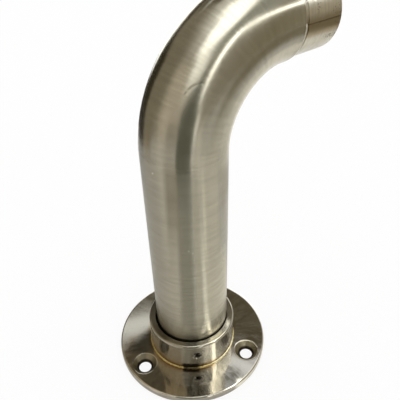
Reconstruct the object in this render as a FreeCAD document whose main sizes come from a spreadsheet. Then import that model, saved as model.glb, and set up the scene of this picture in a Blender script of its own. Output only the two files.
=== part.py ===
import FreeCAD, Part
import Sketcher
import os

# Railing base flange: a round floor plate with a welded socket, and a bent tube that a grub screw holds
# in the socket. The arm of the tube ends in a slimmer sleeve that a handrail slides over.
# Millimetres, +Z up. The origin is the centre of the plate's underside, and the arm points along +X.

# Driving dimensions

SIZES = {
    "plate_thickness": 5.0,
    "plate_edge_round": 1.2,
    "plate_foot_chamfer": 0.4,
    "plate_bore_radius": 23.0,
    "bolt_socket_gap": 12.1,
    "bolt_rim_gap": 11.2,
    "bolt_count": 3,
    "bolt_hole_radius": 4.5,
    "countersink_radius": 8.5,
    "countersink_half_angle": 45,
    "countersink_lip": 1.6,
    "tube_radius": 25.4,
    "tube_wall": 1.2,
    "tube_leg": 161.5,
    "bend_radius": 61.0,
    "arm_straight": 2.0,
    "tube_shift": 0.5,
    "socket_clearance": 0.7,
    "socket_wall": 4.8,
    "socket_height": 23.4,
    "socket_edge_round": 1.5,
    "socket_mouth_chamfer": 0.3,
    "foot_weld_leg": 1.0,
    "foot_weld_face_ratio": 1.4,
    "screw_radius": 3.0,
    "screw_length": 5.0,
    "screw_height": 13.8,
    "screw_azimuth": 240,
    "screw_edge_chamfer": 0.4,
    "screw_cup_radius": 1.6,
    "screw_cup_depth": 0.5,
    "screw_hole_clearance": 0.05,
    "screw_hole_chamfer": 0.5,
    "screw_tip_gap": 0.05,
    "hex_across_flats": 3.0,
    "hex_depth": 2.4,
    "sleeve_clearance": 0.15,
    "sleeve_wall": 1.5,
    "sleeve_reach": 30.0,
    "sleeve_bite": 2.0,
    "sleeve_lead": 0.6,
    "root_width": 3.8,
    "root_depth": 0.35,
    "seam_angle": 90,
    "seam_width": 0.4,
    "seam_depth": 0.15,
    "bead_leg": 2.2,
    "bead_height": 1.5,
    "bead_face_ratio": 0.7,
    "bead_start_angle": 87,
    "bead_sweep_angle": 95,
    "tack_angle": 63,
    "tack_centre": 1.7,
    "tack_length": 3.8,
    "tack_width": 2.8,
    "tack_height": 1.1,
}

# Sizes that follow from the driving dimensions

DERIVED = {
    "countersink_depth": "(countersink_radius - bolt_hole_radius) / tan(countersink_half_angle * 1deg)",
    "lip_run": "countersink_lip * tan((90 - countersink_half_angle) * 0.5deg)",
    "tube_bore_radius": "tube_radius - tube_wall",
    "socket_bore_radius": "tube_radius + socket_clearance",
    "socket_radius": "socket_bore_radius + socket_wall",
    "bolt_circle_radius": "socket_radius + bolt_socket_gap",
    "plate_radius": "bolt_circle_radius + bolt_rim_gap",
    "sleeve_radius": "tube_bore_radius - sleeve_clearance",
    "sleeve_bore_radius": "sleeve_radius - sleeve_wall",
    "sleeve_insert": "arm_straight + sleeve_bite",
    "screw_seat": "tube_shift * cos(screw_azimuth * 1deg)"
                  " + sqrt(tube_radius^2 - (tube_shift * sin(screw_azimuth * 1deg))^2) + screw_tip_gap",
    "arm_end": "tube_shift + bend_radius + arm_straight",
    "arm_height": "plate_thickness + tube_leg + bend_radius",
    "root_radius": "sleeve_radius - root_depth",
    "step_height": "tube_radius - root_radius",
}

CLEAR = 1.0  # how far a cutting outline runs past the faces that it opens
HEX_SIDES = 6

doc = FreeCAD.newDocument("RailingBaseFlange")
sheet = doc.addObject("Spreadsheet::Sheet", "Dimensions")


def fill_sheet():
    """Write each named size into the sheet, the driving ones first."""
    row = 1
    for alias, size in SIZES.items():
        sheet.set("A%d" % row, alias)
        sheet.set("B%d" % row, str(size))
        sheet.setAlias("B%d" % row, alias)
        row += 1
    for alias, formula in DERIVED.items():
        sheet.set("A%d" % row, alias)
        sheet.set("B%d" % row, "=" + formula)
        sheet.setAlias("B%d" % row, alias)
        row += 1
    doc.recompute()


def bound(formula):
    """Point the size names of a formula at the sheet."""
    words = sorted(list(SIZES) + list(DERIVED), key=len, reverse=True)
    text = formula
    for number, word in enumerate(words):
        text = text.replace(word, "<%d>" % number)
    for number, word in enumerate(words):
        text = text.replace("<%d>" % number, "Dimensions." + word)
    return text


def size_of(formula):
    """Value of a formula, used to draw an outline near its final place."""
    return float(sheet.evalExpression(bound(formula)))


def new_body(name):
    body = doc.addObject("PartDesign::Body", name)
    body.Label = name
    return body


def new_sketch(body, name, role, offset_axis=None, offset=None):
    """Sketch on one of the body's own origin planes, moved along a sketch axis when asked."""
    sketch = body.newObject("Sketcher::SketchObject", name)
    plane = [item for item in body.Origin.OriginFeatures if item.Role == role][0]
    sketch.AttachmentSupport = [(plane, "")]
    sketch.MapMode = "FlatFace"
    if offset_axis:
        sketch.setExpression("AttachmentOffset.Base." + offset_axis, bound(offset))
    doc.recompute()
    return sketch


def draw_path(sketch, corners, arcs=None, closed=True):
    """Draw an outline through corners given as pairs of formulas.

    arcs maps the number of an edge to its radius formula and the side its centre is on:
    1 for an arc that turns left along the outline, -1 for one that turns right.
    """
    arcs = arcs or {}
    points = [FreeCAD.Vector(size_of(x), size_of(y), 0) for x, y in corners]
    edges = len(corners) if closed else len(corners) - 1
    ends = []
    for number in range(edges):
        start = points[number]
        finish = points[(number + 1) % len(points)]
        if number in arcs:
            radius, side = arcs[number]
            chord = finish - start
            across = FreeCAD.Vector(-chord.y, chord.x, 0).normalize() * side
            reach = (max(size_of(radius) ** 2 - chord.Length ** 2 / 4, 0)) ** 0.5
            centre = (start + finish) * 0.5 + across * reach
            first, last = (start, finish) if side > 0 else (finish, start)
            circle = Part.Circle(centre, FreeCAD.Vector(0, 0, 1), size_of(radius))
            curve = Part.ArcOfCircle(circle, circle.parameter(first), circle.parameter(last))
            index = sketch.addGeometry(curve, False)
            ends.append((index, 1, 2) if side > 0 else (index, 2, 1))
            rule = sketch.addConstraint(Sketcher.Constraint("Radius", index, size_of(radius)))
            sketch.renameConstraint(rule, "round_%d" % number)
            sketch.setExpression("Constraints.round_%d" % number, bound(radius))
        else:
            index = sketch.addGeometry(Part.LineSegment(start, finish), False)
            ends.append((index, 1, 2))
    joins = edges if closed else edges - 1
    for number in range(joins):
        here = ends[number]
        after = ends[(number + 1) % edges]
        sketch.addConstraint(Sketcher.Constraint("Coincident", here[0], here[2], after[0], after[1]))
    for number, (x, y) in enumerate(corners):
        index, point = ends[number][:2] if number < edges else (ends[-1][0], ends[-1][2])
        place_point(sketch, index, point, x, y, "corner_%d" % number)


def place_point(sketch, index, point, x, y, name):
    """Hold a point of a sketch at a pair of formulas."""
    for kind, axis, formula in (("DistanceX", "x", x), ("DistanceY", "y", y)):
        rule = sketch.addConstraint(Sketcher.Constraint(kind, -1, 1, index, point, size_of(formula)))
        sketch.renameConstraint(rule, name + "_" + axis)
        sketch.setExpression("Constraints." + name + "_" + axis, bound(formula))


def draw_circle(sketch, radius, name):
    """Circle about the sketch's own origin."""
    index = sketch.addGeometry(
        Part.Circle(FreeCAD.Vector(0, 0, 0), FreeCAD.Vector(0, 0, 1), size_of(radius)), False)
    sketch.addConstraint(Sketcher.Constraint("Coincident", index, 3, -1, 1))
    rule = sketch.addConstraint(Sketcher.Constraint("Radius", index, size_of(radius)))
    sketch.renameConstraint(rule, name)
    sketch.setExpression("Constraints." + name, bound(radius))


def turn(body, kind, name, sketch, axis, angle=None):
    """Revolution or Groove of a sketch about one of its own axes."""
    feature = body.newObject("PartDesign::" + kind, name)
    feature.Profile = sketch
    feature.ReferenceAxis = (sketch, [axis])
    feature.Angle = 360
    if angle:
        feature.setExpression("Angle", bound(angle))
    sketch.Visibility = False
    body.Tip = feature
    doc.recompute()
    return feature


def place(body, x="0", z="0", axis=None, angle=None):
    """Seat a piece, turned about one axis when asked."""
    if axis:
        body.Placement = FreeCAD.Placement(FreeCAD.Vector(0, 0, 0), FreeCAD.Rotation(axis, 1.0))
        body.setExpression("Placement.Rotation.Angle", bound(angle))
    body.setExpression("Placement.Base.x", bound(x))
    body.setExpression("Placement.Base.z", bound(z))
    doc.recompute()


def build_flange_plate():
    """Turned disc with a rounded upper rim and three countersunk holes whose lips are buffed round."""
    body = new_body("flange_plate")
    section = new_sketch(body, "plate_section", "XZ_Plane")
    draw_path(section, [
        ("plate_bore_radius", "0"),
        ("plate_radius - plate_foot_chamfer", "0"),
        ("plate_radius", "plate_foot_chamfer"),
        ("plate_radius", "plate_thickness - plate_edge_round"),
        ("plate_radius - plate_edge_round", "plate_thickness"),
        ("plate_bore_radius", "plate_thickness"),
    ], {3: ("plate_edge_round", 1)})
    turn(body, "Revolution", "plate_disc", section, "V_Axis")

    hole = new_sketch(body, "hole_section", "XZ_Plane", "x", "-bolt_circle_radius")
    draw_path(hole, [
        ("0", "-%g" % CLEAR),
        ("bolt_hole_radius", "-%g" % CLEAR),
        ("bolt_hole_radius", "plate_thickness - countersink_depth"),
        ("countersink_radius - lip_run * sin(countersink_half_angle * 1deg)",
         "plate_thickness - lip_run * cos(countersink_half_angle * 1deg)"),
        ("countersink_radius + lip_run", "plate_thickness"),
        ("countersink_radius + lip_run", "plate_thickness + %g" % CLEAR),
        ("0", "plate_thickness + %g" % CLEAR),
    ], {3: ("countersink_lip", -1)})
    cut = turn(body, "Groove", "countersunk_hole", hole, "V_Axis")

    pattern = body.newObject("PartDesign::PolarPattern", "hole_circle")
    pattern.Originals = [cut]
    pattern.Axis = (section, ["V_Axis"])
    pattern.Angle = 360
    pattern.setExpression("Occurrences", bound("bolt_count"))
    body.Tip = pattern
    place(body)
    return body


def build_socket_collar():
    """Thick ring that the tube stands in, with a rounded mouth and one tapped hole for the grub screw.

    The tapped hole is drawn along the ring's own X axis, and the ring is turned to bring it round.
    """
    body = new_body("socket_collar")
    section = new_sketch(body, "collar_section", "XZ_Plane")
    draw_path(section, [
        ("socket_bore_radius", "0"),
        ("socket_radius", "0"),
        ("socket_radius", "socket_height - socket_edge_round"),
        ("socket_radius - socket_edge_round", "socket_height"),
        ("socket_bore_radius + socket_mouth_chamfer", "socket_height"),
        ("socket_bore_radius", "socket_height - socket_mouth_chamfer"),
    ], {2: ("socket_edge_round", 1)})
    turn(body, "Revolution", "collar_ring", section, "V_Axis")

    tapping = new_sketch(body, "tapping_section", "XZ_Plane", "y", "screw_height")
    wall = "screw_radius + screw_hole_clearance"
    draw_path(tapping, [
        ("socket_bore_radius - %g" % CLEAR, "0"),
        ("socket_radius + %g" % CLEAR, "0"),
        ("socket_radius + %g" % CLEAR, wall + " + screw_hole_chamfer + %g" % CLEAR),
        ("socket_radius - screw_hole_chamfer", wall),
        ("socket_bore_radius - %g" % CLEAR, wall),
    ])
    turn(body, "Groove", "tapped_hole", tapping, "H_Axis")
    place(body, z="plate_thickness", axis=FreeCAD.Vector(0, 0, 1), angle="screw_azimuth")
    return body


def build_collar_weld():
    """Slim hollow weld bead round the foot of the collar."""
    body = new_body("collar_weld")
    section = new_sketch(body, "weld_section", "XZ_Plane")
    draw_path(section, [
        ("socket_radius", "0"),
        ("socket_radius + foot_weld_leg", "0"),
        ("socket_radius", "foot_weld_leg"),
    ], {1: ("foot_weld_leg * foot_weld_face_ratio", -1)})
    turn(body, "Revolution", "weld_ring", section, "V_Axis")
    place(body, z="plate_thickness")
    return body


def build_grub_screw():
    """Cup-point grub screw, drawn from its tip outwards along X, with a hexagon socket in its end."""
    body = new_body("grub_screw")
    section = new_sketch(body, "screw_section", "XZ_Plane")
    draw_path(section, [
        ("screw_cup_depth", "0"),
        ("screw_length", "0"),
        ("screw_length", "screw_radius - screw_edge_chamfer"),
        ("screw_length - screw_edge_chamfer", "screw_radius"),
        ("screw_radius - screw_cup_radius", "screw_radius"),
        ("0", "screw_cup_radius"),
    ])
    turn(body, "Revolution", "screw_shank", section, "H_Axis")

    socket = new_sketch(body, "hexagon", "YZ_Plane", "z", "screw_length")
    corner = "hex_across_flats / 2 / cos(%gdeg)" % (180 / HEX_SIDES)
    angles = [side * 360 / HEX_SIDES for side in range(HEX_SIDES)]
    draw_path(socket, [
        ("%s * cos(%gdeg)" % (corner, angle), "%s * sin(%gdeg)" % (corner, angle))
        for angle in angles
    ])
    pocket = body.newObject("PartDesign::Pocket", "hexagon_socket")
    pocket.Profile = socket
    pocket.setExpression("Length", bound("hex_depth"))
    socket.Visibility = False
    body.Tip = pocket
    place(body, axis=FreeCAD.Vector(0, 0, 1), angle="screw_azimuth")
    body.setExpression("Placement.Base.x", bound("screw_seat * cos(screw_azimuth * 1deg)"))
    body.setExpression("Placement.Base.y", bound("screw_seat * sin(screw_azimuth * 1deg)"))
    body.setExpression("Placement.Base.z", bound("plate_thickness + screw_height"))
    doc.recompute()
    return body


def build_bent_tube():
    """One length of tube: a straight leg, a quarter bend and a short straight end, all one wall."""
    body = new_body("bent_tube")
    ring = new_sketch(body, "tube_section", "XY_Plane")
    draw_circle(ring, "tube_radius", "outer_radius")
    draw_circle(ring, "tube_bore_radius", "inner_radius")

    path = new_sketch(body, "tube_path", "XZ_Plane")
    draw_path(path, [
        ("0", "0"),
        ("0", "tube_leg"),
        ("bend_radius", "tube_leg + bend_radius"),
        ("bend_radius + arm_straight", "tube_leg + bend_radius"),
    ], {1: ("bend_radius", -1)}, closed=False)

    pipe = body.newObject("PartDesign::AdditivePipe", "tube_sweep")
    pipe.Profile = ring
    pipe.Spine = (path, ["Edge1", "Edge2", "Edge3"])
    ring.Visibility = False
    path.Visibility = False
    body.Tip = pipe
    place(body, x="tube_shift", z="plate_thickness")
    return body


def build_spigot_sleeve():
    """Rolled sleeve, slimmer than the tube, that starts inside its end and carries the handrail.

    A shallow groove takes the weld where the sleeve leaves the tube. The long seam is drawn at the top,
    and the sleeve is turned to bring it round.
    """
    body = new_body("spigot_sleeve")
    section = new_sketch(body, "sleeve_section", "XZ_Plane")
    draw_path(section, [
        ("-sleeve_insert", "sleeve_bore_radius"),
        ("sleeve_reach", "sleeve_bore_radius"),
        ("sleeve_reach", "sleeve_radius - sleeve_lead / 2"),
        ("sleeve_reach - sleeve_lead", "sleeve_radius"),
        ("root_width", "sleeve_radius"),
        ("root_width", "root_radius"),
        ("0", "root_radius"),
        ("0", "sleeve_radius"),
        ("-sleeve_insert", "sleeve_radius"),
    ])
    turn(body, "Revolution", "sleeve_ring", section, "H_Axis")

    seam = new_sketch(body, "seam_section", "YZ_Plane", "z", "sleeve_reach")
    draw_path(seam, [
        ("-seam_width / 2", "sleeve_radius - seam_depth"),
        ("seam_width / 2", "sleeve_radius - seam_depth"),
        ("seam_width / 2", "sleeve_radius + %g" % CLEAR),
        ("-seam_width / 2", "sleeve_radius + %g" % CLEAR),
    ])
    pocket = body.newObject("PartDesign::Pocket", "seam_line")
    pocket.Profile = seam
    pocket.setExpression("Length", bound("sleeve_reach + sleeve_insert + %g" % CLEAR))
    seam.Visibility = False
    body.Tip = pocket
    place(body, x="arm_end", z="arm_height", axis=FreeCAD.Vector(1, 0, 0), angle="seam_angle")
    return body


def build_spigot_weld():
    """Round-faced bead in the sleeve's groove, against the tube's end, on the lower near side."""
    body = new_body("spigot_weld")
    section = new_sketch(body, "bead_section", "XZ_Plane")
    draw_path(section, [
        ("0", "root_radius"),
        ("min(bead_leg; root_width)", "root_radius"),
        ("0", "root_radius + min(bead_height; step_height)"),
    ], {1: ("(bead_leg + bead_height) * bead_face_ratio", 1)})
    turn(body, "Revolution", "bead_ring", section, "H_Axis", angle="bead_sweep_angle")
    place(body, x="arm_end", z="arm_height", axis=FreeCAD.Vector(1, 0, 0), angle="bead_start_angle")
    return body


def build_tack_weld():
    """Blob of weld metal in the groove, cut to lie against the tube's end face and the sleeve."""
    blob = doc.addObject("Part::Ellipsoid", "tack_blob")
    blob.Angle1 = -90
    blob.Angle2 = 90
    blob.Angle3 = 360
    blob.setExpression("Radius1", bound("tack_height"))
    blob.setExpression("Radius2", bound("tack_length / 2"))
    blob.setExpression("Radius3", bound("tack_width / 2"))
    blob.setExpression("Placement.Base.x", bound("tack_centre"))
    blob.setExpression("Placement.Base.z", bound("sleeve_radius"))

    bars = []
    for name, radius, start, length in (
        ("tack_groove_bar", "root_radius", "-tack_length", "tack_length * 3"),
        ("tack_sleeve_bar", "sleeve_radius", "root_width", "tack_length * 3"),
        ("tack_tube_bar", "tube_radius", "-tack_length", "tack_length"),
    ):
        bar = doc.addObject("Part::Cylinder", name)
        bar.Placement.Rotation = FreeCAD.Rotation(FreeCAD.Vector(0, 1, 0), 90)
        bar.setExpression("Radius", bound(radius))
        bar.setExpression("Height", bound(length))
        bar.setExpression("Placement.Base.x", bound(start))
        bars.append(bar)
    backing = doc.addObject("Part::MultiFuse", "tack_backing")
    backing.Shapes = bars
    tack = doc.addObject("Part::Cut", "tack_weld")
    tack.Base = blob
    tack.Tool = backing
    tack.Label = "tack_weld"
    place(tack, x="arm_end", z="arm_height", axis=FreeCAD.Vector(1, 0, 0), angle="tack_angle")
    return tack


def check_document(pieces):
    """Stop if any object failed, or if a piece isn't one valid solid."""
    for item in doc.Objects:
        if "Invalid" in item.State or "Error" in item.State:
            raise RuntimeError("%s is not right: %s" % (item.Name, item.State))
    for piece in pieces:
        shape = piece.Shape
        if shape.isNull() or not shape.isValid() or len(shape.Solids) != 1:
            raise RuntimeError("%s has no single valid solid" % piece.Label)


fill_sheet()
parts = [
    build_flange_plate(),
    build_socket_collar(),
    build_collar_weld(),
    build_grub_screw(),
    build_bent_tube(),
    build_spigot_sleeve(),
    build_spigot_weld(),
    build_tack_weld(),
]
doc.recompute()
check_document(parts)

os.makedirs("parts", exist_ok=True)
for part in parts:
    part.Shape.exportStep("parts/%s.step" % part.Label)
    box = part.Shape.BoundBox
    print("%-14s volume %9.1f  x %7.2f %7.2f  y %7.2f %7.2f  z %7.2f %7.2f" % (
        part.Label, part.Shape.Volume, box.XMin, box.XMax, box.YMin, box.YMax, box.ZMin, box.ZMax))
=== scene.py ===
import bpy
import math
from mathutils import Matrix, Vector


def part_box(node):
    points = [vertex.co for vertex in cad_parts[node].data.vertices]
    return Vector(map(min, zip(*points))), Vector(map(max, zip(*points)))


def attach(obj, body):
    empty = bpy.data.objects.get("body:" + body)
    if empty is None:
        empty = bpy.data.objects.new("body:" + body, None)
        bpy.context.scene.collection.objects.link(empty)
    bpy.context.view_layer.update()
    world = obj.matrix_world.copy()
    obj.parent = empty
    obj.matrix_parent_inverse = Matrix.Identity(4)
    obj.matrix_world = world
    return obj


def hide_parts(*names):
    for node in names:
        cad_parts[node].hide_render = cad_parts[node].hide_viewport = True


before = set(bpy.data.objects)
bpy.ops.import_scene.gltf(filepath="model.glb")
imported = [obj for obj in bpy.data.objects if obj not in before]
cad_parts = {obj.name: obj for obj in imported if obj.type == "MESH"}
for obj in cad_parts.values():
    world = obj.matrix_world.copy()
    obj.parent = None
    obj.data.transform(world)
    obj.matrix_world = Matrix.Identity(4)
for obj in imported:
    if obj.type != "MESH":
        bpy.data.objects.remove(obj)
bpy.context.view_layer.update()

# Railing base flange: its finishes, its weld beads and the studio round it
# Metres, +Z up. The origin is the centre of the plate's underside, and the arm points along +X.

# Sizes, read from the parts' boxes in model.glb where these give them

collar_low, collar_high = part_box("socket_collar")
tube_low, tube_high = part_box("bent_tube")
sleeve_low, sleeve_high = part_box("spigot_sleeve")

PLATE_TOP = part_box("flange_plate")[1].z
TUBE_RADIUS = (tube_high.y - tube_low.y) / 2
TUBE_X = tube_low.x + TUBE_RADIUS
TUBE_END = tube_high.x
ARM_HEIGHT = (sleeve_low.z + sleeve_high.z) / 2
BEND_RADIUS = 0.061
BEND_START = ARM_HEIGHT - BEND_RADIUS
BEND_X = TUBE_X + BEND_RADIUS
COLLAR_RADIUS = (collar_high.x - collar_low.x) / 2
SCREW_HOLES = 3
BOLT_CIRCLE_RADIUS = COLLAR_RADIUS + 0.0121

# Small helpers for node trees


def colour(red, green, blue):
    return (red, green, blue, 1.0)


def bare_material(name):
    """Material whose node tree is still empty, returned with that tree."""
    material = bpy.data.materials.new(name)
    material.use_nodes = True
    material.node_tree.nodes.clear()
    return material, material.node_tree


def metal(name):
    """Metal finish, returned with its node tree and its shader."""
    material = bpy.data.materials.new(name)
    material.use_nodes = True
    shader = material.node_tree.nodes["Principled BSDF"]
    shader.inputs["Metallic"].default_value = 1.0
    return material, material.node_tree, shader


def object_point(tree):
    return tree.nodes.new("ShaderNodeTexCoord").outputs["Object"]


def feed(tree, value, socket):
    """Link a socket, or set a plain number or colour."""
    if isinstance(value, bpy.types.NodeSocket):
        tree.links.new(value, socket)
    else:
        socket.default_value = value


def math_node(tree, operation, *values):
    node = tree.nodes.new("ShaderNodeMath")
    node.operation = operation
    for number, value in enumerate(values):
        feed(tree, value, node.inputs[number])
    return node.outputs[0]


def times(tree, first, second):
    return math_node(tree, "MULTIPLY", first, second)


def minus(tree, first, second):
    return math_node(tree, "SUBTRACT", first, second)


def away(tree, value, middle):
    """How far a value lies from its middle, to either side."""
    return math_node(tree, "ABSOLUTE", minus(tree, value, middle))


def vector_node(tree, operation, *values):
    node = tree.nodes.new("ShaderNodeVectorMath")
    node.operation = operation
    for number, value in enumerate(values):
        feed(tree, value, node.inputs[number])
    return node.outputs["Value"] if operation == "LENGTH" else node.outputs["Vector"]


def split(tree, vector):
    node = tree.nodes.new("ShaderNodeSeparateXYZ")
    tree.links.new(vector, node.inputs[0])
    return node.outputs


def joined(tree, x, y, z):
    node = tree.nodes.new("ShaderNodeCombineXYZ")
    for number, value in enumerate((x, y, z)):
        feed(tree, value, node.inputs[number])
    return node.outputs[0]


def ramp(tree, value, low, high, start=0.0, end=1.0, smooth=True):
    """Value carried from low..high to start..end, held at both ends."""
    node = tree.nodes.new("ShaderNodeMapRange")
    node.interpolation_type = "SMOOTHSTEP" if smooth else "LINEAR"
    feed(tree, value, node.inputs["Value"])
    node.inputs["From Min"].default_value = low
    node.inputs["From Max"].default_value = high
    node.inputs["To Min"].default_value = start
    node.inputs["To Max"].default_value = end
    return node.outputs["Result"]


def fade(tree, value, low, high, start=1.0):
    """Ramp that falls from its start at low to nothing at high."""
    return ramp(tree, value, low, high, start, 0.0)


def between(tree, value, low, high, soft, whole_turn=False):
    """1 from low to high, 0 outside, with soft edges. Degrees on a whole turn may run past 180."""
    gap = minus(tree, value, (low + high) / 2)
    if whole_turn:
        gap = math_node(tree, "WRAP", gap, 180.0, -180.0)
    half = (high - low) / 2
    return fade(tree, math_node(tree, "ABSOLUTE", gap), half - soft / 2, half + soft / 2)


def noise(tree, vector, scale, detail=2.0, roughness=0.5, distortion=0.0):
    node = tree.nodes.new("ShaderNodeTexNoise")
    tree.links.new(vector, node.inputs["Vector"])
    node.inputs["Scale"].default_value = scale
    node.inputs["Detail"].default_value = detail
    node.inputs["Roughness"].default_value = roughness
    node.inputs["Distortion"].default_value = distortion
    return node.outputs["Fac"]


def blend(tree, amount, first, second):
    """Colour between two colours."""
    node = tree.nodes.new("ShaderNodeMix")
    node.data_type = "RGBA"
    feed(tree, amount, node.inputs[0])
    feed(tree, first, node.inputs[6])
    feed(tree, second, node.inputs[7])
    return node.outputs[2]


def glow(tree, tone, strength=1.0):
    node = tree.nodes.new("ShaderNodeEmission")
    feed(tree, tone, node.inputs["Color"])
    node.inputs["Strength"].default_value = strength
    return node.outputs[0]


def mixed(tree, share, first, second):
    """Shader between two shaders."""
    node = tree.nodes.new("ShaderNodeMixShader")
    feed(tree, share, node.inputs[0])
    tree.links.new(first, node.inputs[1])
    tree.links.new(second, node.inputs[2])
    return node.outputs[0]


def clear(tree):
    return tree.nodes.new("ShaderNodeBsdfTransparent").outputs[0]


def surface(tree, shader):
    out = tree.nodes.new("ShaderNodeOutputMaterial")
    tree.links.new(shader, out.inputs["Surface"])


# Places on the object, worked out in a material from the object's own coordinates


def along_tube(tree):
    """Distance along the tube, the two coordinates across it, and the direction that the tube runs in."""
    point = split(tree, object_point(tree))
    across = minus(tree, point["X"], BEND_X)
    above = minus(tree, point["Z"], BEND_START)
    angle = math_node(tree, "ARCTAN2", above, times(tree, across, -1.0))
    angle = math_node(tree, "MINIMUM", math_node(tree, "MAXIMUM", angle, 0.0), math.pi / 2)
    cosine = math_node(tree, "COSINE", angle)
    sine = math_node(tree, "SINE", angle)
    outward = minus(tree, times(tree, sine, above), times(tree, cosine, across))
    outward = minus(tree, outward, BEND_RADIUS)
    leg = math_node(tree, "MINIMUM", point["Z"], BEND_START)
    arm = math_node(tree, "MAXIMUM", across, 0.0)
    run = math_node(tree, "ADD", leg, math_node(tree, "MULTIPLY_ADD", angle, BEND_RADIUS, arm))
    return run, outward, point["Y"], joined(tree, sine, 0.0, cosine)


def from_axis(tree, point):
    """Distance from the plate's vertical axis."""
    return vector_node(tree, "LENGTH", joined(tree, point["X"], point["Y"], 0.0))


def bearing(tree, point):
    """Angle round the vertical axis in radians: 0 towards -Y, and a quarter turn towards +X."""
    return math_node(tree, "ARCTAN2", point["X"], times(tree, point["Y"], -1.0))


def from_holes(tree, point):
    """Distance from the nearest screw hole's axis."""
    nearest = None
    for number in range(SCREW_HOLES):
        angle = math.pi + number * 2 * math.pi / SCREW_HOLES
        across = minus(tree, point["X"], BOLT_CIRCLE_RADIUS * math.cos(angle))
        along = minus(tree, point["Y"], BOLT_CIRCLE_RADIUS * math.sin(angle))
        gap = vector_node(tree, "LENGTH", joined(tree, across, along, 0.0))
        nearest = gap if nearest is None else math_node(tree, "MINIMUM", nearest, gap)
    return nearest


# Marks that brushing and rubbing leave, and a black patch of painted dark reflection


def lines_round(tree, run, outward, side, pitch, length, detail=2.0):
    """Noise drawn out round the tube. Pitch is along the tube and length round it."""
    section = joined(tree, outward, side, 0.0)
    section = vector_node(tree, "MULTIPLY", section, (1 / length, 1 / length, 0.0))
    along = joined(tree, 0.0, 0.0, times(tree, run, 1 / pitch))
    return noise(tree, vector_node(tree, "ADD", section, along), 1.0, detail, 0.6)


def combed(tree, direction, lines, amount):
    """Surface direction leant sideways, line by line, as brushing leaves it."""
    outwards = tree.nodes.new("ShaderNodeNewGeometry").outputs["Normal"]
    sideways = vector_node(tree, "CROSS_PRODUCT", direction, outwards)
    lean = times(tree, minus(tree, lines, 0.5), amount)
    scaled = vector_node(tree, "MULTIPLY", sideways, joined(tree, lean, lean, lean))
    return vector_node(tree, "NORMALIZE", vector_node(tree, "ADD", outwards, scaled))


def scuffed(tree, steel, run, outward, side):
    """Curved rub mark on the outside of the bend, dark with a pale edge."""
    middle_run, middle_side, radius = 0.1964, -0.0285, 0.01345
    pale_step = 0.0010
    start, full, thinning, end = 0.1984, 0.2000, 0.2045, 0.2070
    rub = joined(tree, minus(tree, run, middle_run), minus(tree, side, middle_side), 0.0)
    rub = minus(tree, vector_node(tree, "LENGTH", rub), radius)
    share = times(tree, ramp(tree, run, start, full), fade(tree, run, thinning, end))
    share = times(tree, share, ramp(tree, outward, 0.0, 0.005))
    broken = noise(tree, object_point(tree), 500.0)
    share = times(tree, share, ramp(tree, broken, 0.35, 0.55, 0.35, 1.0))
    dark = fade(tree, away(tree, rub, 0.0), 0.0002, 0.00065, 0.75)
    pale = fade(tree, away(tree, rub, -pale_step), 0.0002, 0.0006, 0.6)
    steel = blend(tree, times(tree, dark, share), steel, colour(0.22, 0.20, 0.15))
    return blend(tree, times(tree, pale, share), steel, colour(0.55, 0.53, 0.45))


TUBE_NICKS = [
    # place, and radius
    ((-0.02430, -0.00542, 0.16403), 0.00055),
    ((-0.01413, -0.02076, 0.11257), 0.00050),
    ((-0.01224, -0.02197, 0.11050), 0.00040),
]


def nicked(tree, steel):
    """Small bright nicks in the tube."""
    for middle, radius in TUBE_NICKS:
        gap = vector_node(tree, "LENGTH", vector_node(tree, "SUBTRACT", object_point(tree), middle))
        steel = blend(tree, fade(tree, gap, radius * 0.5, radius), steel, colour(0.95, 0.94, 0.90))
    return steel


def painted_dark_reflection(tree, around, first, full):
    """Black patch in front of the collar, a painted dark reflection, which starts sharply and thins out to
    the right.
    """
    thinning, gone = -0.54, -0.43
    return times(tree, ramp(tree, around, first, full), fade(tree, around, thinning, gone))


# Finishes


def brushed_tube():
    """Tube: brushed round its length, so that what it mirrors is drawn out along it."""
    material, tree, shader = metal("brushed_tube")
    run, outward, side, direction = along_tube(tree)
    fine = lines_round(tree, run, outward, side, pitch=0.0012, length=0.018)
    bands = lines_round(tree, run, outward, side, pitch=0.0035, length=0.030)
    hair = lines_round(tree, run, outward, side, pitch=0.0010, length=0.020, detail=1.0)
    cloud = noise(tree, object_point(tree), 30.0, 3.0, 0.6)
    tone = math_node(tree, "MULTIPLY_ADD", bands, 0.25, times(tree, cloud, 0.20))
    tone = ramp(tree, math_node(tree, "MULTIPLY_ADD", fine, 0.55, tone), 0.36, 0.64)
    steel = blend(tree, tone, colour(0.392, 0.373, 0.309), colour(0.444, 0.423, 0.353))
    # hair lines, which show most at the leg's foot
    drawn = times(tree, ramp(tree, hair, 0.46, 0.64), ramp(tree, run, 0.06, 0.19, 0.38, 0.08))
    steel = blend(tree, drawn, steel, colour(0.30, 0.283, 0.228))
    steel = nicked(tree, scuffed(tree, steel, run, outward, side))
    feed(tree, steel, shader.inputs["Base Color"])
    feed(tree, ramp(tree, cloud, 0.3, 0.7, 0.19, 0.25), shader.inputs["Roughness"])
    shader.inputs["Anisotropic"].default_value = 0.7
    feed(tree, direction, shader.inputs["Tangent"])
    feed(tree, combed(tree, direction, fine, 0.034), shader.inputs["Normal"])
    return material


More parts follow.
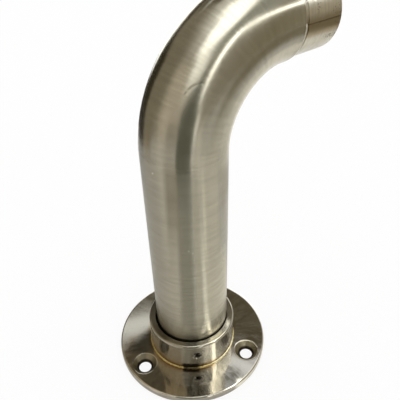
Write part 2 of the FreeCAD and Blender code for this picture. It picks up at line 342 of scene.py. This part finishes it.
def polished_plate():
    """Plate: mirror polished, smeared by the hand buff, brown by the weld, plain turned in its holes, with
    painted shade darkening their bores.
    """
    bore_shade_edge, bore_shade_end = 0.0052, 0.0061
    sink_end, sink_edge = 0.0083, 0.0088
    material, tree, shader = metal("polished_plate")
    point = split(tree, object_point(tree))
    reach = from_axis(tree, point)
    around = bearing(tree, point)
    smear = noise(tree, object_point(tree), 60.0, 4.0, 0.6, 0.6)
    streak = joined(tree, times(tree, around, 14.0), times(tree, reach, 90.0), 0.0)
    streak = noise(tree, streak, 1.0, 3.0, 0.65, 0.4)
    worn = math_node(tree, "MULTIPLY_ADD", smear, 0.5, times(tree, streak, 0.5))
    steel = blend(tree, ramp(tree, worn, 0.36, 0.64), colour(0.47, 0.445, 0.395), colour(0.58, 0.56, 0.51))
    # brown tint beside the weld, rubbed nearly clean at the right in front
    tint = math_node(tree, "MULTIPLY_ADD", smear, 0.006, reach)
    tint = fade(tree, tint, COLLAR_RADIUS + 0.0025, COLLAR_RADIUS + 0.0085)
    tint = times(tree, tint, ramp(tree, away(tree, around, 0.42), 0.45, 0.80, 0.15, 1.0))
    steel = blend(tree, tint, steel, colour(0.40, 0.28, 0.14))
    # countersinks with fine rings, and their bores painted near black as painted shade
    gap = from_holes(tree, point)
    rings = noise(tree, joined(tree, times(tree, gap, 2500.0), 0.0, 0.0), 1.0, 1.0)
    turned = blend(tree, rings, colour(0.20, 0.175, 0.115), colour(0.32, 0.29, 0.22))
    turned = blend(tree, fade(tree, gap, bore_shade_edge, bore_shade_end), turned, colour(0.03, 0.025, 0.018))
    cut = fade(tree, gap, sink_end, sink_edge)
    feed(tree, blend(tree, cut, steel, turned), shader.inputs["Base Color"])
    polish = ramp(tree, worn, 0.34, 0.68, 0.05, 0.13)
    feed(tree, math_node(tree, "MULTIPLY_ADD", cut, 0.28, polish), shader.inputs["Roughness"])
    return material


def turned_collar():
    """Collar: turned and buffed in fine rings, with a dark tint at its foot and a black patch of painted
    dark reflection in front.
    """
    foot_full, foot_end = PLATE_TOP + 0.0015, PLATE_TOP + 0.0045
    dark_reflection_full, dark_reflection_end = PLATE_TOP + 0.0045, PLATE_TOP + 0.0056
    ring_density = 5000.0
    material, tree, shader = metal("turned_collar")
    point = split(tree, object_point(tree))
    reach = from_axis(tree, point)
    rings = joined(tree, times(tree, reach, ring_density), 0.0, times(tree, point["Z"], ring_density))
    rings = noise(tree, rings, 1.0, 2.0, 0.6)
    steel = blend(tree, rings, colour(0.37, 0.35, 0.30), colour(0.45, 0.43, 0.37))
    foot = fade(tree, point["Z"], foot_full, foot_end)
    steel = blend(tree, foot, steel, colour(0.22, 0.16, 0.08))
    # black patch at the foot in front: painted dark reflection
    scale = painted_dark_reflection(tree, bearing(tree, point), -0.885, -0.86)
    scale = times(tree, scale, fade(tree, point["Z"], dark_reflection_full, dark_reflection_end))
    feed(tree, blend(tree, scale, steel, colour(0.03, 0.027, 0.018)), shader.inputs["Base Color"])
    feed(tree, ramp(tree, rings, 0.2, 0.8, 0.15, 0.19), shader.inputs["Roughness"])
    shader.inputs["Anisotropic"].default_value = 0.92
    shader.inputs["Anisotropic Rotation"].default_value = 0.25
    turn = joined(tree, times(tree, point["Y"], -1.0), point["X"], 0.0)
    feed(tree, vector_node(tree, "NORMALIZE", turn), shader.inputs["Tangent"])
    return material


def straw_weld():
    """Collar weld: straw gold, painted black in front as a dark reflection, and paler to the right of that.
    """
    material, tree, shader = metal("straw_weld")
    around = bearing(tree, split(tree, object_point(tree)))
    mottle = noise(tree, object_point(tree), 700.0, 2.0)
    gold = blend(tree, mottle, colour(0.50, 0.40, 0.15), colour(0.72, 0.62, 0.33))
    # black patch in front: the same painted dark reflection as on the collar
    scale = times(tree, painted_dark_reflection(tree, around, -0.87, -0.83), 0.93)
    gold = blend(tree, scale, gold, colour(0.06, 0.048, 0.025))
    clean = fade(tree, away(tree, around, 0.30), 0.30, 0.60, 0.85)
    gold = blend(tree, clean, gold, colour(0.96, 0.91, 0.66))
    feed(tree, gold, shader.inputs["Base Color"])
    feed(tree, ramp(tree, mottle, 0.2, 0.8, 0.22, 0.34), shader.inputs["Roughness"])
    return material


def dark_screw():
    """Grub screw: dark plated, with bright spots that are painted glints."""
    material, tree, shader = metal("dark_screw")
    mottle = noise(tree, object_point(tree), 900.0, 2.0)
    plating = blend(tree, mottle, colour(0.04, 0.036, 0.03), colour(0.12, 0.11, 0.095))
    # bright spots: painted glints
    worn = ramp(tree, noise(tree, object_point(tree), 800.0, 0.0), 0.56, 0.60)
    feed(tree, blend(tree, worn, plating, colour(0.85, 0.84, 0.80)), shader.inputs["Base Color"])
    feed(tree, ramp(tree, mottle, 0.2, 0.8, 0.25, 0.40), shader.inputs["Roughness"])
    return material


def sleeve_tone(tree, level):
    """Steel above and below the seam: brown beside it, and paler further up and down."""
    share = ramp(tree, level, 0.0025, 0.0075)
    above = blend(tree, share, colour(0.34, 0.285, 0.195), colour(0.62, 0.575, 0.475))
    above = blend(tree, ramp(tree, level, 0.007, 0.014), above, colour(0.68, 0.665, 0.60))
    share = ramp(tree, level, -0.0020, -0.0055)
    below = blend(tree, share, colour(0.33, 0.265, 0.17), colour(0.50, 0.42, 0.295))
    below = blend(tree, ramp(tree, level, -0.0050, -0.0075), below, colour(0.60, 0.575, 0.50))
    below = blend(tree, ramp(tree, level, -0.0100, -0.0160), below, colour(0.66, 0.65, 0.60))
    return blend(tree, ramp(tree, level, 0.0012, 0.0018), below, above)


def pitted(tree, steel, run, level):
    """Scattered pits, and a row of them low on both sides near the sleeve's tip."""
    row_level, row_start, row_full = -0.0088, 0.2810, 0.2860
    pits = ramp(tree, noise(tree, object_point(tree), 1100.0, 1.0), 0.60, 0.66)
    pits = times(tree, pits, ramp(tree, noise(tree, object_point(tree), 90.0, 1.0), 0.50, 0.58))
    steel = blend(tree, times(tree, pits, 0.7), steel, colour(0.16, 0.13, 0.09))
    row = fade(tree, away(tree, level, row_level), 0.0007, 0.0020)
    row = times(tree, row, ramp(tree, run, row_start, row_full))
    row = times(tree, row, ramp(tree, noise(tree, object_point(tree), 1300.0, 1.0), 0.46, 0.56))
    return blend(tree, times(tree, row, 0.8), steel, colour(0.15, 0.125, 0.085))


def ground_sleeve():
    """Sleeve: ground round its length, brown along its seam, and pitted."""
    material, tree, shader = metal("ground_sleeve")
    run, outward, side, direction = along_tube(tree)
    lines = lines_round(tree, run, outward, side, pitch=0.0011, length=0.030, detail=3.0)
    patchy = noise(tree, object_point(tree), 160.0, 3.0, 0.6)
    level = math_node(tree, "MULTIPLY_ADD", patchy, 0.003, outward)
    steel = pitted(tree, sleeve_tone(tree, level), run, level)
    seam = fade(tree, math_node(tree, "ABSOLUTE", outward), 0.0002, 0.0005)
    steel = blend(tree, times(tree, seam, 0.75), steel, colour(0.14, 0.09, 0.045))
    steel = blend(tree, ramp(tree, lines, 0.35, 0.65, 0.0, 0.30), steel, colour(0.30, 0.27, 0.21))
    feed(tree, steel, shader.inputs["Base Color"])
    feed(tree, ramp(tree, lines, 0.3, 0.7, 0.30, 0.38), shader.inputs["Roughness"])
    shader.inputs["Anisotropic"].default_value = 0.7
    feed(tree, direction, shader.inputs["Tangent"])
    feed(tree, combed(tree, direction, lines, 0.09), shader.inputs["Normal"])
    return material


def bright_weld():
    """Bead and blob on the sleeve: bright and lightly mottled."""
    material, tree, shader = metal("bright_weld")
    mottle = noise(tree, object_point(tree), 600.0, 2.0)
    steel = blend(tree, mottle, colour(0.55, 0.53, 0.48), colour(0.80, 0.78, 0.73))
    feed(tree, steel, shader.inputs["Base Color"])
    feed(tree, ramp(tree, mottle, 0.2, 0.8, 0.25, 0.40), shader.inputs["Roughness"])
    return material


FINISHES = {
    "flange_plate": polished_plate(),
    "socket_collar": turned_collar(),
    "collar_weld": straw_weld(),
    "grub_screw": dark_screw(),
    "bent_tube": brushed_tube(),
    "spigot_sleeve": ground_sleeve(),
    "spigot_weld": bright_weld(),
}
FINISHES["tack_weld"] = FINISHES["spigot_weld"]

for node, material in FINISHES.items():
    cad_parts[node].data.materials.clear()
    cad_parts[node].data.materials.append(material)

# Weld beads, modelled over the plain ones


def begin(name):
    """Name the new primitive and put its place into its mesh."""
    piece = bpy.context.object
    piece.name = name
    bpy.ops.object.transform_apply(location=True, rotation=True, scale=True)
    return piece


def pick(piece, test):
    """Enter edit mode with just the vertices whose place passes the test."""
    bpy.ops.object.mode_set(mode="EDIT")
    bpy.ops.mesh.select_mode(type="VERT")
    bpy.ops.mesh.select_all(action="DESELECT")
    bpy.ops.object.mode_set(mode="OBJECT")
    for vertex in piece.data.vertices:
        vertex.select = test(vertex.co)
    bpy.ops.object.mode_set(mode="EDIT")


def finish(piece, node):
    """Turn the piece's faces outwards, smooth it, and put it in the node's stead with the node's finish."""
    bpy.ops.object.mode_set(mode="EDIT")
    bpy.ops.mesh.select_all(action="SELECT")
    bpy.ops.mesh.normals_make_consistent(inside=False)
    bpy.ops.object.mode_set(mode="OBJECT")
    bpy.ops.object.shade_smooth()
    piece.data.materials.append(FINISHES[node])
    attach(piece, "root")
    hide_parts(node)


# How far each loop of one ripple is raised, as a share of the ripple's depth
RIPPLE = (-1.0, -0.4, 0.3, 0.4, 0.0)


def ripple(piece, turn_of, pitch, depth):
    """Raise and sink the bead's loops in turn, as the pool of a weld freezes. Pitch is in degrees."""
    for number, amount in enumerate(RIPPLE):
        phase = number / len(RIPPLE)
        pick(piece, lambda place: abs((turn_of(place) / pitch - phase + 0.5) % 1.0 - 0.5) < 0.08)
        bpy.ops.transform.shrink_fatten(value=depth * amount)
        bpy.ops.object.mode_set(mode="OBJECT")


def spun_bead(name, place, turn, section, radius, centre, axis, sweep, steps):
    """Small circle spun round an axis. Section is the number of its sides, and steps go along the bead."""
    bpy.ops.object.select_all(action="DESELECT")
    bpy.ops.mesh.primitive_circle_add(
        vertices=section, radius=radius, fill_type="NOTHING", location=place, rotation=turn)
    bead = begin(name)
    bpy.ops.object.mode_set(mode="EDIT")
    bpy.ops.mesh.select_all(action="SELECT")
    bpy.ops.mesh.spin(steps=steps, angle=sweep, center=centre, axis=axis)
    bpy.ops.mesh.select_all(action="SELECT")
    bpy.ops.mesh.remove_doubles(threshold=0.000001)
    bpy.ops.mesh.normals_make_consistent(inside=False)
    bpy.ops.object.mode_set(mode="OBJECT")
    return bead


def build_foot_bead():
    """Slim bead round the collar's foot, rippled, and cut flat just below the plate's face."""
    leg = 0.0010
    radius, ripple_depth = leg * 0.93, leg * 0.10
    ripples = 180
    height = PLATE_TOP + 0.00004
    cut_height = PLATE_TOP - 0.0001
    bead = spun_bead(
        "foot_bead", place=(COLLAR_RADIUS - 0.00008, 0.0, height), turn=(math.pi / 2, 0.0, 0.0), section=14,
        radius=radius, centre=(0.0, 0.0, height), axis=(0.0, 0.0, 1.0), sweep=2 * math.pi,
        steps=ripples * len(RIPPLE))
    ripple(bead, lambda place: math.degrees(math.atan2(place.y, place.x)), 360.0 / ripples, ripple_depth)
    bpy.ops.object.mode_set(mode="EDIT")
    bpy.ops.mesh.select_all(action="SELECT")
    bpy.ops.mesh.bisect(
        plane_co=(0.0, 0.0, cut_height), plane_no=(0.0, 0.0, 1.0), clear_inner=True, threshold=0.000001)
    bpy.ops.mesh.select_all(action="DESELECT")
    bpy.ops.mesh.select_non_manifold(extend=False)
    bpy.ops.mesh.bridge_edge_loops()
    finish(bead, "collar_weld")


def build_sleeve_bead():
    """Bead on the lower quarter of the tube's end, thinning out at both of its ends."""
    first, last, steps = 87.0, 182.0, 235
    step_angle = (last - first) / steps
    thin_steps = 12
    ring_radius, bead_radius = 0.02388, 0.00128
    middle = TUBE_END + 0.00090

    def on_ring(degrees):
        turn = math.radians(degrees)
        return (middle, -ring_radius * math.sin(turn), ARM_HEIGHT + ring_radius * math.cos(turn))

    def turn_of(place):
        return math.degrees(math.atan2(-place.y, place.z - ARM_HEIGHT)) % 360.0

    bead = spun_bead(
        "sleeve_bead", place=on_ring(first), turn=(math.radians(first) + math.pi / 2, 0.0, 0.0), section=16,
        radius=bead_radius, centre=(middle, 0.0, ARM_HEIGHT), axis=(-1.0, 0.0, 0.0),
        sweep=math.radians(last - first), steps=steps)
    ripple(bead, lambda place: turn_of(place) - first, len(RIPPLE) * step_angle, bead_radius * 0.08)
    for end, inward in ((first, 1.0), (last, -1.0)):
        for step in range(thin_steps):
            angle = end + inward * step * step_angle
            size = math.sqrt(1.0 - (1.0 - (step + 0.4) / thin_steps) ** 2)
            pick(bead, lambda place: abs(turn_of(place) - angle) < 0.15)
            bpy.ops.transform.resize(value=(size, size, size), center_override=on_ring(angle))
            if step == 0:
                bpy.ops.mesh.edge_face_add()
            bpy.ops.object.mode_set(mode="OBJECT")
    finish(bead, "spigot_weld")


def build_tack_bead():
    """Lump of weld metal in the groove."""
    angle = math.radians(63.0)
    reach = 0.02405
    half_sizes = (0.0019, 0.0014, 0.0011)
    bpy.ops.object.select_all(action="DESELECT")
    bpy.ops.mesh.primitive_uv_sphere_add(
        segments=48, ring_count=28, radius=1.0, rotation=(angle, 0.0, 0.0),
        location=(TUBE_END + 0.0017, -reach * math.sin(angle), ARM_HEIGHT + reach * math.cos(angle)))
    bpy.context.object.scale = half_sizes
    tack = begin("tack_bead")
    pick(tack, lambda place: True)
    bpy.ops.transform.vertex_random(offset=0.00022, uniform=0.0, normal=1.0, seed=4)
    bpy.ops.mesh.vertices_smooth(factor=0.5, repeat=3)
    bpy.ops.object.mode_set(mode="OBJECT")
    finish(tack, "tack_weld")


build_foot_bead()
build_sleeve_bead()
build_tack_bead()

# Studio: a pale table and a white world, and a tent, lamp, screen and cards that only the metal mirrors

TENT_RADIUS = 1.0
TENT_CENTRE = (0.02, 0.0, 0.1)


def only_in_reflections(thing):
    thing.visible_camera = False
    thing.visible_diffuse = False
    thing.visible_transmission = False
    thing.visible_volume_scatter = False
    thing.visible_shadow = False


TENT_FIELDS = [
    # left, right, low and high in degrees; softness; colour
    ((-180.0, -108.0, -30.0, 66.0), 40.0, colour(0.34, 0.30, 0.22)),
    ((-106.0, -54.0, -30.0, 48.0), 24.0, colour(0.78, 0.70, 0.575)),
    ((-82.0, -60.0, -30.0, 10.0), 10.0, colour(0.38, 0.33, 0.26)),
    ((-30.0, 72.0, 40.0, 66.0), 9.0, colour(0.52, 0.52, 0.46)),
    ((-28.0, 60.0, -30.0, 41.0), 14.0, colour(0.385, 0.345, 0.262)),
    ((22.0, 60.0, -6.0, 34.0), 26.0, colour(0.37, 0.32, 0.225)),
    ((62.0, 100.0, -30.0, 60.0), 24.0, colour(0.66, 0.63, 0.56)),
    ((-62.0, -34.0, 32.0, 62.0), 16.0, colour(1.9, 1.9, 1.8)),
    ((-206.0, -154.0, -30.0, 26.0), 9.0, colour(0.05, 0.043, 0.024)),
    ((100.0, 171.0, -30.0, 18.0), 8.0, colour(2.3, 2.3, 2.2)),
    ((150.0, 180.0, 20.0, 34.0), 6.0, colour(0.12, 0.10, 0.065)),
    ((112.0, 142.0, 34.0, 52.2), 2.0, colour(0.128, 0.108, 0.068)),
    ((112.0, 146.0, 53.0, 62.0), 1.2, colour(0.64, 0.67, 0.70)),
    ((116.0, 140.0, 53.0, 54.6), 0.8, colour(1.00, 1.04, 1.12)),
    ((133.5, 140.0, 54.8, 57.4), 1.0, colour(0.26, 0.25, 0.21)),
    ((148.0, 176.0, 36.0, 44.9), 1.5, colour(0.17, 0.155, 0.115)),
    ((148.0, 176.0, 45.2, 48.2), 1.2, colour(1.12, 1.14, 1.10)),
    ((146.0, 176.0, 49.0, 64.0), 1.6, colour(0.135, 0.105, 0.064)),
]


def overhead_panel(tree, azimuth, elevation):
    """Share of the panel overhead, whose edge comes lower towards one side."""
    edge = ramp(tree, azimuth, -60.0, 35.0, 54.0, 67.0, smooth=False)
    above = ramp(tree, minus(tree, elevation, edge), -3.0, 4.0)
    aside = between(tree, azimuth, -70.0, 110.0, 28.0, whole_turn=True)
    aside = math_node(tree, "MAXIMUM", aside, ramp(tree, elevation, 78.0, 88.0))
    return times(tree, above, aside)


def far_hoop(tree, azimuth, elevation):
    """Share of the round lamp's far half: half a hoop, swung aside and dimmer below its middle level."""
    middle, level, half_width, half_height = 8.0, 5.0, 33.0, 42.0
    swing = 0.65
    low = math_node(tree, "MAXIMUM", minus(tree, level, elevation), 0.0)
    swung = minus(tree, azimuth, times(tree, low, swing))
    sideways = math_node(tree, "DIVIDE", minus(tree, swung, middle), -half_width)
    upright = math_node(tree, "DIVIDE", minus(tree, elevation, level), half_height)
    upright = math_node(tree, "MAXIMUM", upright, 0.0)
    squares = math_node(tree, "ADD", times(tree, sideways, sideways), times(tree, upright, upright))
    hoop = fade(tree, away(tree, math_node(tree, "SQRT", squares), 1.0), 0.05, 0.125)
    hoop = times(tree, hoop, ramp(tree, elevation, -10.0, level + 3.0, 0.40, 0.97))
    return times(tree, hoop, fade(tree, azimuth, 0.0, 6.0))


def tent_material():
    """What the metal mirrors, by direction from the tent's middle: azimuth 0 is -Y, and 90 is +X."""
    material, tree = bare_material("light_tent")
    way = vector_node(tree, "NORMALIZE", vector_node(tree, "SUBTRACT", object_point(tree), TENT_CENTRE))
    way = split(tree, way)
    azimuth = math_node(tree, "DEGREES", bearing(tree, way))
    elevation = math_node(tree, "DEGREES", math_node(tree, "ARCSINE", way["Z"]))
    shade = blend(tree, ramp(tree, elevation, 45.0, 88.0), colour(0.44, 0.39, 0.31), colour(1.5, 1.5, 1.42))
    for (left, right, low, high), soft, tone in TENT_FIELDS:
        share = times(tree, between(tree, azimuth, left, right, soft, whole_turn=True),
                      between(tree, elevation, low, high, soft))
        shade = blend(tree, share, shade, tone)
    shade = blend(tree, overhead_panel(tree, azimuth, elevation), shade, colour(3.3, 3.3, 3.2))
    shade = blend(tree, far_hoop(tree, azimuth, elevation), shade, colour(4.6, 4.6, 4.4))
    surface(tree, glow(tree, shade))
    return material


def build_tent():
    bpy.ops.object.select_all(action="DESELECT")
    bpy.ops.mesh.primitive_uv_sphere_add(
        segments=128, ring_count=64, radius=TENT_RADIUS, location=TENT_CENTRE)
    tent = begin("light_tent")
    tent.data.materials.append(tent_material())
    only_in_reflections(tent)


LAMP_ROUTE = [
    # x, y and z, and the rod's radius
    (-0.010, -0.640, 0.775, 0.028), (0.020, -0.600, 0.744, 0.028), (0.089, -0.485, 0.656, 0.026),
    (0.126, -0.388, 0.553, 0.022), (0.148, -0.308, 0.470, 0.018), (0.168, -0.247, 0.409, 0.014),
    (0.175, -0.187, 0.354, 0.010), (0.180, -0.149, 0.323, 0.008), (0.174, -0.118, 0.300, 0.007),
    (0.190, -0.070, 0.290, 0.007), (0.200, -0.020, 0.270, 0.007),
]


def build_lamp():
    """Near half of the round lamp: a glowing rod that comes down towards the object's right."""
    line = bpy.data.curves.new("round_lamp", "CURVE")
    line.dimensions = "3D"
    line.bevel_depth = 1.0
    line.bevel_resolution = 6
    line.resolution_u = 12
    spline = line.splines.new("NURBS")
    spline.points.add(len(LAMP_ROUTE) - 1)
    for point, (x, y, z, radius) in zip(spline.points, LAMP_ROUTE):
        point.co = (x, y, z, 1.0)
        point.radius = radius
    spline.order_u = 3
    spline.use_endpoint_u = True
    lamp = bpy.data.objects.new("round_lamp", line)
    bpy.context.scene.collection.objects.link(lamp)
    material, tree = bare_material("lamp_glow")
    surface(tree, glow(tree, colour(1.0, 1.0, 0.97), 4.6))
    line.materials.append(material)
    only_in_reflections(lamp)


def screen_material():
    """Dark, soft-edged screen, paler towards its slanted top."""
    slant = 0.43
    material, tree = bare_material("dark_screen")
    place = split(tree, tree.nodes.new("ShaderNodeTexCoord").outputs["UV"])
    across = fade(tree, away(tree, place["X"], 0.5), 0.42, 0.5)
    top = math_node(tree, "MULTIPLY_ADD", place["X"], -slant, place["Y"])
    cover = times(tree, across, fade(tree, top, 0.585, 0.685))
    paler = ramp(tree, place["Y"], 0.62, 0.80)
    tone = blend(tree, paler, colour(0.155, 0.16, 0.12), colour(0.26, 0.25, 0.21))
    surface(tree, mixed(tree, cover, clear(tree), glow(tree, tone)))
    return material


def build_screen():
    """Screen on the camera's side of the tube, standing on the floor and turned to the tube."""
    azimuth = math.radians(-38.5)
    distance, width, height = 0.24, 0.165, 0.37
    bpy.ops.object.select_all(action="DESELECT")
    bpy.ops.mesh.primitive_plane_add(
        size=1.0, location=(distance * math.sin(azimuth), -distance * math.cos(azimuth), height / 2),
        rotation=(math.pi / 2, 0.0, azimuth))
    bpy.context.object.scale = (width, height, 1.0)
    screen = begin("dark_screen")
    screen.data.materials.append(screen_material())
    only_in_reflections(screen)


# Fields of the cards: left and right in degrees, near and far in metres; softness of each; colour; cover

TABLE_FIELDS = [
    ((-130.0, 28.0, 0.0545, 0.0598), 8.0, 0.001, colour(0.52, 0.50, 0.45), 0.9),
    ((10.0, 100.0, 0.0540, 0.1250), 8.0, 0.004, colour(1.02, 0.99, 0.88), 0.95),
    ((-28.0, -2.0, 0.0598, 0.0700), 6.0, 0.001, colour(0.90, 0.87, 0.76), 0.95),
    ((-62.0, -26.0, 0.06, 0.21), 16.0, 0.03, colour(0.45, 0.435, 0.365), 0.8),
    ((-88.0, -52.0, 0.17, 0.36), 16.0, 0.06, colour(0.42, 0.375, 0.295), 0.9),
    ((-20.0, -3.0, 0.07, 0.19), 9.0, 0.04, colour(0.82, 0.795, 0.685), 0.95),
    ((-20.0, -3.0, 0.18, 0.34), 8.0, 0.04, colour(0.70, 0.675, 0.58), 0.95),
    ((14.0, 58.0, 0.13, 0.36), 14.0, 0.05, colour(0.92, 0.89, 0.79), 0.9),
    ((66.0, 120.0, 0.20, 0.272), 16.0, 0.02, colour(0.58, 0.55, 0.47), 0.8),
    ((58.0, 126.0, 0.278, 0.345), 18.0, 0.02, colour(1.28, 1.24, 1.12), 1.0),
    ((24.0, 120.0, 0.46, 1.05), 18.0, 0.14, colour(0.31, 0.27, 0.185), 1.0),
    ((-2.0, 10.0, 0.05, 0.16), 6.0, 0.02, colour(1.42, 1.40, 1.26), 1.0),
    ((5.0, 15.0, 0.13, 0.24), 6.0, 0.03, colour(1.25, 1.22, 1.08), 1.0),
    ((2.0, 15.0, 0.22, 0.34), 7.0, 0.04, colour(1.05, 1.02, 0.89), 1.0),
    ((-8.0, 3.0, 0.31, 0.47), 6.0, 0.05, colour(1.15, 1.11, 0.97), 1.0),
    ((-14.0, -4.0, 0.42, 0.95), 6.0, 0.06, colour(1.15, 1.11, 0.97), 1.0),
    ((-150.0, -122.0, 0.43, 0.98), 12.0, 0.10, colour(0.36, 0.29, 0.19), 0.9),
    ((150.0, 212.0, 0.41, 0.99), 10.0, 0.03, colour(0.05, 0.04, 0.03), 0.95),
] + [
    # dark below each screw hole: painted shade under the plate
    ((middle - 7.0, middle + 7.0, 0.037, 0.049), 2.0, 0.001, colour(0.12, 0.105, 0.075), 1.0)
    for middle in (-90.0, 30.0, 150.0)
]

RING_FIELDS = [
    ((-172.0, -64.0, 0.06, 0.150), 5.0, 0.004, colour(0.62, 0.49, 0.31), 0.85),
    ((-65.0, 12.0, 0.06, 0.149), 7.0, 0.004, colour(0.09, 0.08, 0.06), 1.0),
    ((8.0, 20.0, 0.06, 0.110), 4.0, 0.004, colour(0.09, 0.08, 0.06), 1.0),
    ((-58.0, -14.0, 0.157, 0.205), 8.0, 0.006, colour(0.84, 0.81, 0.70), 1.0),
    ((24.0, 66.0, 0.06, 0.137), 6.0, 0.004, colour(2.6, 2.55, 2.35), 1.0),
    ((62.0, 96.0, 0.105, 0.139), 6.0, 0.004, colour(2.5, 2.48, 2.35), 1.0),
    ((88.0, 126.0, 0.089, 0.104), 5.0, 0.005, colour(1.15, 1.17, 1.17), 1.0),
    ((24.0, 80.0, 0.141, 0.172), 4.0, 0.004, colour(0.05, 0.045, 0.03), 1.0),
    ((13.5, 22.5, 0.107, 0.215), 2.5, 0.004, colour(7.5, 7.4, 6.9), 1.0),
    ((23.0, 33.0, 0.06, 0.110), 2.5, 0.004, colour(5.0, 4.9, 4.5), 1.0),
    ((5.0, 40.0, 0.1300, 0.1385), 4.0, 0.003, colour(5.0, 4.9, 4.4), 1.0),
]

MOUTH_FIELDS = [
    ((-208.0, -150.0, 0.036, 0.063), 8.0, 0.008, colour(0.05, 0.042, 0.027), 0.95),
    ((-175.0, -100.0, 0.027, 0.047), 8.0, 0.006, colour(0.10, 0.085, 0.055), 0.9),
    ((-104.0, -46.0, 0.039, 0.047), 8.0, 0.004, colour(0.09, 0.076, 0.05), 0.95),
    ((-24.0, 14.0, 0.0415, 0.0475), 8.0, 0.002, colour(1.6, 1.56, 1.42), 1.0),
    ((10.0, 45.0, 0.036, 0.049), 4.0, 0.002, colour(4.6, 4.5, 4.0), 1.0),
    ((72.0, 92.0, 0.026, 0.0335), 4.0, 0.002, colour(3.0, 2.95, 2.7), 1.0),
]

CARDS = [
    # name, fields, height, radius, and whether it glows only downwards
    ("table_card", TABLE_FIELDS, -0.0001, 0.99, False),
    ("ring_card", RING_FIELDS, 0.17, 0.23, True),
    ("mouth_card", MOUTH_FIELDS, 0.06, 0.07, True),
]


def card_material(name, fields, only_downwards):
    """Soft-edged glowing fields round the object's axis, and clear elsewhere."""
    material, tree = bare_material(name)
    point = split(tree, object_point(tree))
    reach = from_axis(tree, point)
    azimuth = math_node(tree, "DEGREES", bearing(tree, point))
    # the first field's colour lies under all the others
    shade = fields[0][3]
    cover = 0.0
    for (left, right, near, far), soft, soft_reach, tone, amount in fields:
        share = times(tree, between(tree, azimuth, left, right, soft, whole_turn=True),
                      between(tree, reach, near, far, soft_reach))
        shade = blend(tree, share, shade, tone)
        cover = math_node(tree, "MAXIMUM", cover, times(tree, share, amount))
    if only_downwards:
        underside = tree.nodes.new("ShaderNodeNewGeometry").outputs["Backfacing"]
        cover = times(tree, cover, underside)
    surface(tree, mixed(tree, cover, clear(tree), glow(tree, shade)))
    return material


def build_cards():
    """Flat cards: one on the table, and two over the base that glow downwards."""
    for name, fields, height, radius, only_downwards in CARDS:
        bpy.ops.object.select_all(action="DESELECT")
        bpy.ops.mesh.primitive_circle_add(
            vertices=96, radius=radius, fill_type="NGON", location=(0.0, 0.0, height))
        card = begin(name)
        card.data.materials.append(card_material(name, fields, only_downwards))
        only_in_reflections(card)


def table_material():
    """Pale satin table: white to the camera and in the metal, and it still takes the object's shadow."""
    pale = colour(0.95, 0.95, 0.95)
    satin_share, camera_glow, mirror_glow = 0.62, 0.86, 0.1
    material, tree = bare_material("pale_table")
    paths = tree.nodes.new("ShaderNodeLightPath").outputs
    mirrored = math_node(tree, "MAXIMUM", paths["Is Glossy Ray"], paths["Is Transmission Ray"])
    matt = tree.nodes.new("ShaderNodeBsdfDiffuse")
    matt.inputs["Color"].default_value = pale
    sheen = tree.nodes.new("ShaderNodeBsdfAnisotropic")
    sheen.inputs["Color"].default_value = pale
    sheen.inputs["Roughness"].default_value = 0.34
    satin = mixed(tree, times(tree, mirrored, satin_share), matt.outputs[0], sheen.outputs[0])
    share = math_node(tree, "MAXIMUM", times(tree, paths["Is Camera Ray"], camera_glow),
                      times(tree, mirrored, mirror_glow))
    surface(tree, mixed(tree, share, satin, glow(tree, colour(1.0, 1.0, 1.0))))
    return material


def build_floor():
    bpy.ops.object.select_all(action="DESELECT")
    bpy.ops.mesh.primitive_plane_add(size=40.0, location=(0.0, 0.0, -0.0002))
    floor = begin("floor")
    floor.data.materials.append(table_material())


def build_world():
    world = bpy.data.worlds.new("white_world")
    bpy.context.scene.world = world
    world.use_nodes = True
    background = world.node_tree.nodes["Background"]
    background.inputs["Color"].default_value = colour(1.0, 1.0, 1.0)
    background.inputs["Strength"].default_value = 1.0


def build_camera():
    """The photograph's viewpoint, fitted to the object's outlines."""
    azimuth = math.radians(-36.888)
    elevation = math.radians(36.807)
    roll = math.radians(-1.593)
    target = Vector((0.0004, 0.0, 0.13113))
    sideways, distance = 0.00838, 0.28985
    focal_px, frame_px = 477.64, 400.0
    back = Vector((math.sin(azimuth) * math.cos(elevation), -math.cos(azimuth) * math.cos(elevation),
                   math.sin(elevation)))
    right = Vector((math.cos(azimuth), math.sin(azimuth), 0.0))
    up = back.cross(right)
    tilted_right = math.cos(roll) * right + math.sin(roll) * up
    tilted_up = math.cos(roll) * up - math.sin(roll) * right
    data = bpy.data.cameras.new("camera")
    data.sensor_width = 36.0
    data.lens = focal_px * data.sensor_width / frame_px
    data.clip_start = 0.01
    data.clip_end = 50.0
    camera = bpy.data.objects.new("camera", data)
    turn = Matrix((tilted_right, tilted_up, back)).transposed()
    place = target + sideways * right + distance * back
    camera.matrix_world = Matrix.Translation(place) @ turn.to_4x4()
    bpy.context.scene.collection.objects.link(camera)
    bpy.context.scene.camera = camera


build_world()
build_floor()
build_tent()
build_lamp()
build_screen()
build_cards()
build_camera()
bpy.context.scene.view_settings.view_transform = "Standard"
